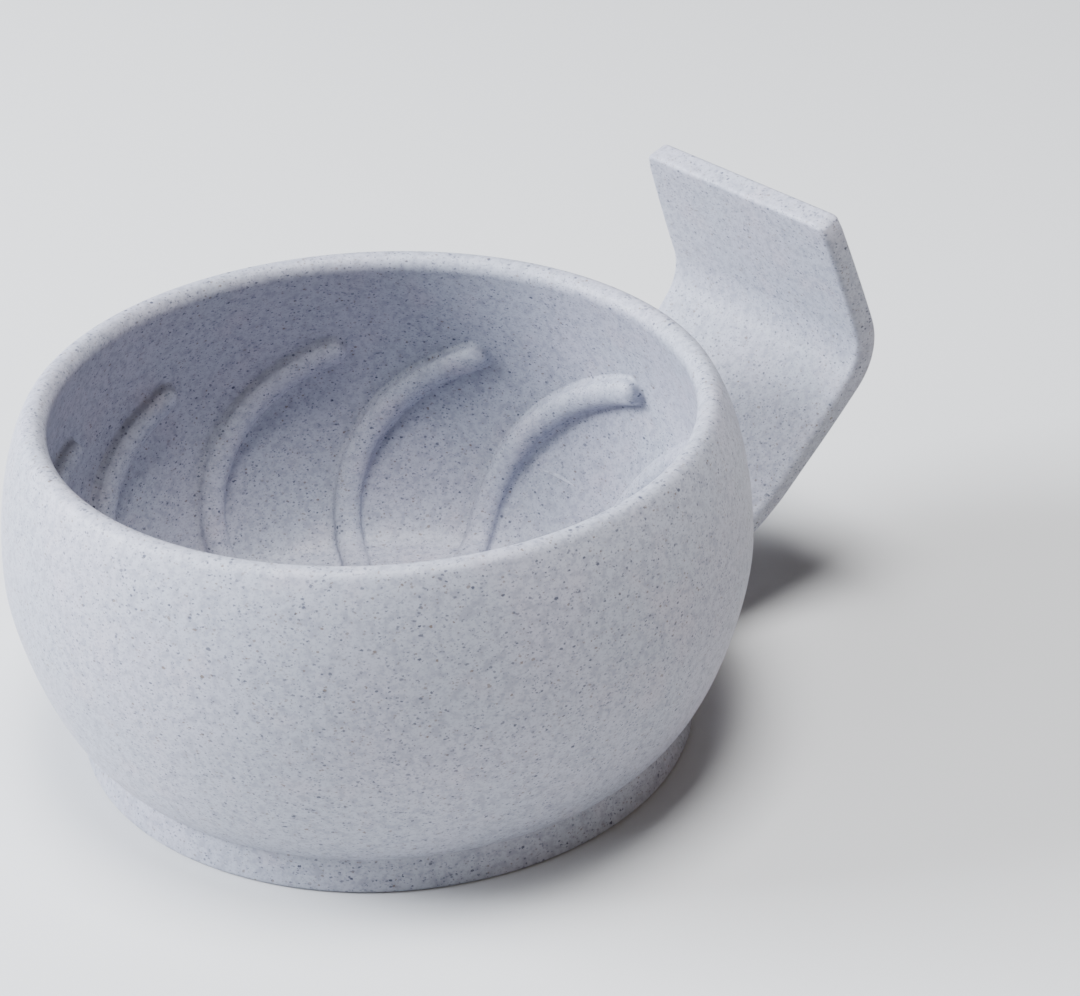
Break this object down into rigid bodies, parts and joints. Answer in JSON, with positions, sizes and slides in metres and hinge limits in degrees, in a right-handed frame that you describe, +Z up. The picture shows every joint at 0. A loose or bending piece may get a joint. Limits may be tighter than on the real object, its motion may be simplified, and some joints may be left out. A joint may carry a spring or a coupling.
{
  "type": "shaving bowl",
  "caption": "Round barrel-sided lather bowl with a rolled lip, ring foot, bent plate handle and curling raised ribs inside that help a shaving brush build foam.",
  "frame": {"origin": "on the standing surface, under the middle of the whole object's box; the bowl's own axis is 14.65 mm towards -X from it", "axes": "+Z up along the bowl's axis, +X from the bowl's axis towards the handle"},
  "size_m": [0.1492, 0.12, 0.0727],
  "materials": {
    "speckled_plastic": "matte pale blue-grey moulded plastic with fine dark specks"
  },
  "bodies": {
    "root": {"bowl_shell": "speckled_plastic", "foot_ring": "speckled_plastic", "handle": "speckled_plastic", "lather_rib_01": "speckled_plastic", "lather_rib_02": "speckled_plastic", "lather_rib_03": "speckled_plastic", "lather_rib_04": "speckled_plastic", "lather_rib_05": "speckled_plastic", "lather_rib_06": "speckled_plastic", "lather_rib_07": "speckled_plastic", "lather_rib_08": "speckled_plastic", "lather_rib_09": "speckled_plastic", "lather_rib_10": "speckled_plastic", "lather_rib_11": "speckled_plastic", "lather_rib_12": "speckled_plastic"}
  },
  "joints": []
}
